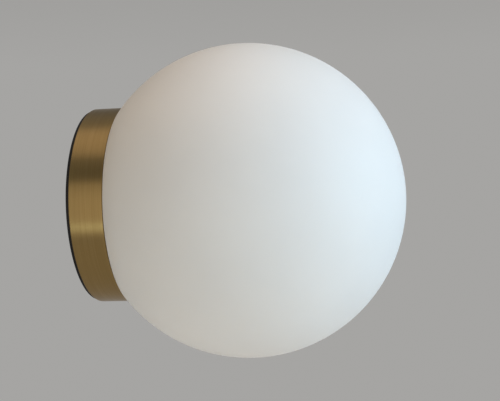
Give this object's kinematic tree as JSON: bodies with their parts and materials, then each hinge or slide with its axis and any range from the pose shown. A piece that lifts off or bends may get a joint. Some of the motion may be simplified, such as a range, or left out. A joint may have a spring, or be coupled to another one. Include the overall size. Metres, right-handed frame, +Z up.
{
  "type": "globe wall light",
  "caption": "Opal glass globe on a short round brass drum, screwed to a black back plate on a wall, with a screw-cap bulb in a porcelain lampholder inside.",
  "frame": {"origin": "centre of the back plate's wall face, on the lamp's axis", "axes": "+Z up, +Y into the wall, so the lamp stands out along -Y and faces azimuth 0"},
  "size_m": [0.2, 0.2005, 0.2],
  "materials": {
    "opal_glass": "satin opal glass, acid etched outside",
    "satin_brass": "satin antique brass, brushed round the drum",
    "black_paint": "matt black powder coat",
    "ring_aluminium": "turned aluminium",
    "silicone": "translucent white silicone",
    "black_rubber": "black rubber",
    "zinc_steel": "zinc plated steel",
    "bare_brass": "bare machined brass",
    "nickel_shell": "nickel plated sheet",
    "porcelain": "white glazed porcelain",
    "white_nylon": "white moulded nylon",
    "bulb_plastic": "white moulded housing",
    "bulb_opal": "opal diffuser",
    "black_insulator": "black fused insulator",
    "brown_lead": "brown silicone insulation",
    "blue_lead": "blue silicone insulation"
  },
  "bodies": {
    "wall_side": {"back_plate": "black_paint", "cable_grommet": "black_rubber", "lampholder_bridge": "zinc_steel", "bridge_screws": "zinc_steel", "hollow_nipple": "bare_brass", "lock_washer": "zinc_steel", "nipple_nut": "bare_brass", "lampholder_cap": "porcelain", "lampholder_skirt": "porcelain", "contact_block": "porcelain", "socket_shell": "nickel_shell", "centre_contact": "bare_brass", "terminal_block": "white_nylon", "terminal_tubes": "bare_brass", "clamp_screws": "zinc_steel", "block_screw": "zinc_steel", "earth_washer": "bare_brass", "earth_screw": "bare_brass", "neutral_lead": "blue_lead", "live_lead": "brown_lead"},
    "drum": {"base_drum": "satin_brass", "neck_ring": "ring_aluminium", "ring_screws": "zinc_steel", "grub_screws": "satin_brass"},
    "seal": {"seal_ring": "silicone"},
    "globe": {"globe_glass": "opal_glass"},
    "bulb_seat": {"bulb_tip": "nickel_shell"},
    "bulb": {"bulb_envelope": "bulb_opal", "bulb_housing": "bulb_plastic", "bulb_cap": "nickel_shell", "bulb_insulator": "black_insulator"}
  },
  "joints": [
    {"name": "drum_pull_off", "type": "slide", "parent": "wall_side", "child": "drum", "axis": [0, -1, 0], "range_m": [0, 0.165]},
    {"name": "globe_travel", "type": "slide", "parent": "drum", "child": "seal", "axis": [0, -1, 0], "range_m": [0, 0.0101]},
    {"name": "globe_unscrew", "type": "hinge", "parent": "seal", "child": "globe", "pos_m": [0, -0.0235, 0], "axis": [0, -1, 0], "range_deg": [0, 720]},
    {"name": "bulb_travel", "type": "slide", "parent": "wall_side", "child": "bulb_seat", "axis": [0, -1, 0], "range_m": [0, 0.011]},
    {"name": "bulb_unscrew", "type": "hinge", "parent": "bulb_seat", "child": "bulb", "pos_m": [0, -0.046, 0], "axis": [0, -1, 0], "range_deg": [0, 1080]}
  ],
  "couplings": [
    {"joint": "globe_travel", "follows": "globe_unscrew", "m_per_rad": 0.00079577},
    {"joint": "bulb_travel", "follows": "bulb_unscrew", "m_per_rad": 0.00057757}
  ]
}
